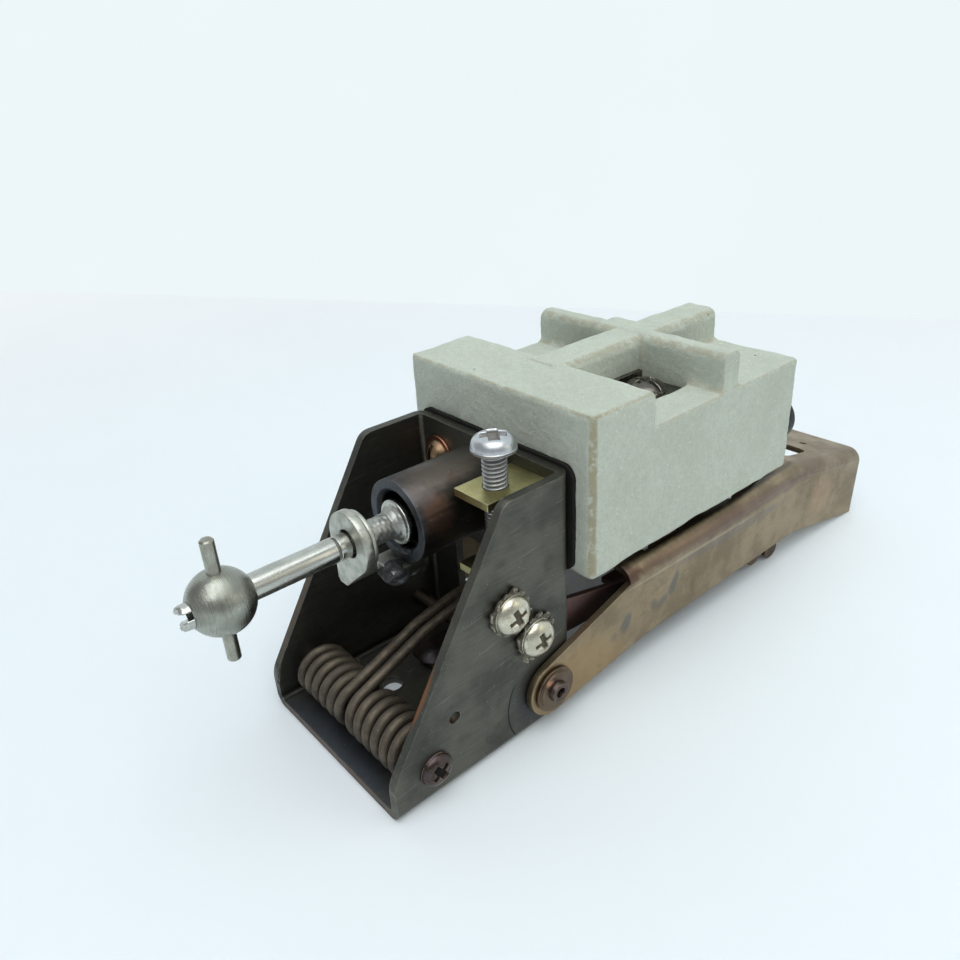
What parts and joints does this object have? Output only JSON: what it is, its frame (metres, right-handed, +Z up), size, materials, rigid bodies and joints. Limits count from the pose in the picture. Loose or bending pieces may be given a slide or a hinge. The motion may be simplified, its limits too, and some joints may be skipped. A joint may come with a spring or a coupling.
{
  "type": "spring lever switch",
  "caption": "Sprung bronze lever hinged below a ceramic terminal block in a folded steel frame, with a ball-ended adjusting rod in a tube.",
  "frame": {"origin": "middle of the underside of the frame's floor", "axes": "+X from the ball-ended rod to the lever's heel, +Y across the frame, +Z up from the base"},
  "size_m": [0.1732, 0.0508, 0.0639],
  "materials": {
    "frame_steel": "dark oxidised, brushed",
    "black_sheet": "matt",
    "pale_ceramic": "unglazed, fine grained",
    "terminal_nickel": "tarnished nickel",
    "screw_nickel": "tarnished nickel, polished edges",
    "nut_brass": "dull",
    "blade_copper": "drawn copper",
    "screw_bronze": "worn bronze",
    "ring_copper": "dull copper",
    "cap_black": "glossy",
    "tube_brown": "heat tinted brown",
    "bracket_zinc": "zinc plated, satin",
    "rivet_grey": "rough",
    "bracket_brass": "satin, worn edges",
    "arbor_steel": "turned",
    "arbor_screw_dark": "browned",
    "spring_wire": "browned wire",
    "cheek_screw_nickel": "nickel plated",
    "washer_corroded": "corroded",
    "arm_purple": "heat tinted",
    "strap_brown": "browned",
    "floor_rivet_dark": "dark",
    "axle_steel": "worn steel",
    "pivot_washer_bronze": "tinted bronze",
    "lever_bronze": "oxidised bronze, brushed",
    "bar_copper": "drawn copper",
    "leaf_bronze": "spring bronze",
    "rivet_copper": "dull copper",
    "hanger_fibre": "pressed fibre",
    "hanger_screw_brass": "dull",
    "rod_steel": "turned bright",
    "ball_steel": "turned bright",
    "pin_steel": "drawn",
    "clip_steel": "stamped",
    "follower_steel": "turned",
    "barrel_spring_steel": "oiled wire",
    "adjuster_zinc": "zinc plated"
  },
  "bodies": {
    "frame_body": {"frame": "frame_steel", "insulating_sheet": "black_sheet", "ceramic_block": "pale_ceramic", "terminal_plates": "terminal_nickel", "terminal_screws": "screw_nickel", "terminal_nuts": "nut_brass", "knife_blades": "blade_copper", "front_screws": "screw_bronze", "copper_washers": "ring_copper", "rear_caps": "cap_black", "barrel_tube": "tube_brown", "steady_bracket": "bracket_zinc", "bracket_rivet": "rivet_grey", "brass_bracket": "bracket_brass", "spring_arbor": "arbor_steel", "arbor_screws": "arbor_screw_dark", "torsion_spring": "spring_wire", "cheek_screws": "cheek_screw_nickel", "lock_washers": "washer_corroded", "stop_arm": "arm_purple", "floor_strap": "strap_brown", "floor_rivets": "floor_rivet_dark", "pivot_axle": "axle_steel", "pivot_washers": "pivot_washer_bronze", "barrel_spring": "barrel_spring_steel"},
    "lever_body": {"lever": "lever_bronze", "contact_bars": "bar_copper", "jaw_leaves": "leaf_bronze", "jaw_rivets": "rivet_copper", "hanger_blocks": "hanger_fibre", "hanger_screws": "hanger_screw_brass"},
    "knob_body": {"adjusting_rod": "rod_steel", "ball_knob": "ball_steel", "cross_pin": "pin_steel", "rod_clip": "clip_steel"},
    "follower_body": {"spring_follower": "follower_steel"},
    "adjuster_body": {"adjusting_screw": "adjuster_zinc"}
  },
  "joints": [
    {"name": "lever_swing", "type": "hinge", "parent": "frame_body", "child": "lever_body", "pos_m": [0.0146, 0, 0.0092], "axis": [0, 1, 0], "range_deg": [0, 8], "stiffness_Nm_per_rad": 2.5, "springref_deg": -17.19, "deforming": ["torsion_spring"]},
    {"name": "knob_turn", "type": "hinge", "parent": "frame_body", "child": "knob_body", "pos_m": [-0.0352, 0, 0.0433], "axis": [1, 0, 0], "range_deg": [-720, 720]},
    {"name": "follower_slide", "type": "slide", "parent": "frame_body", "child": "follower_body", "axis": [1, 0, 0], "range_m": [-0.002, 0.002], "deforming": ["barrel_spring"]},
    {"name": "adjuster_turn", "type": "hinge", "parent": "frame_body", "child": "adjuster_body", "pos_m": [0.012, -0.0121, 0.0564], "axis": [0, 0, 1], "range_deg": [-720, 720]}
  ],
  "couplings": [
    {"joint": "knob_turn", "follows": "follower_slide", "rad_per_m": 6283.2}
  ]
}
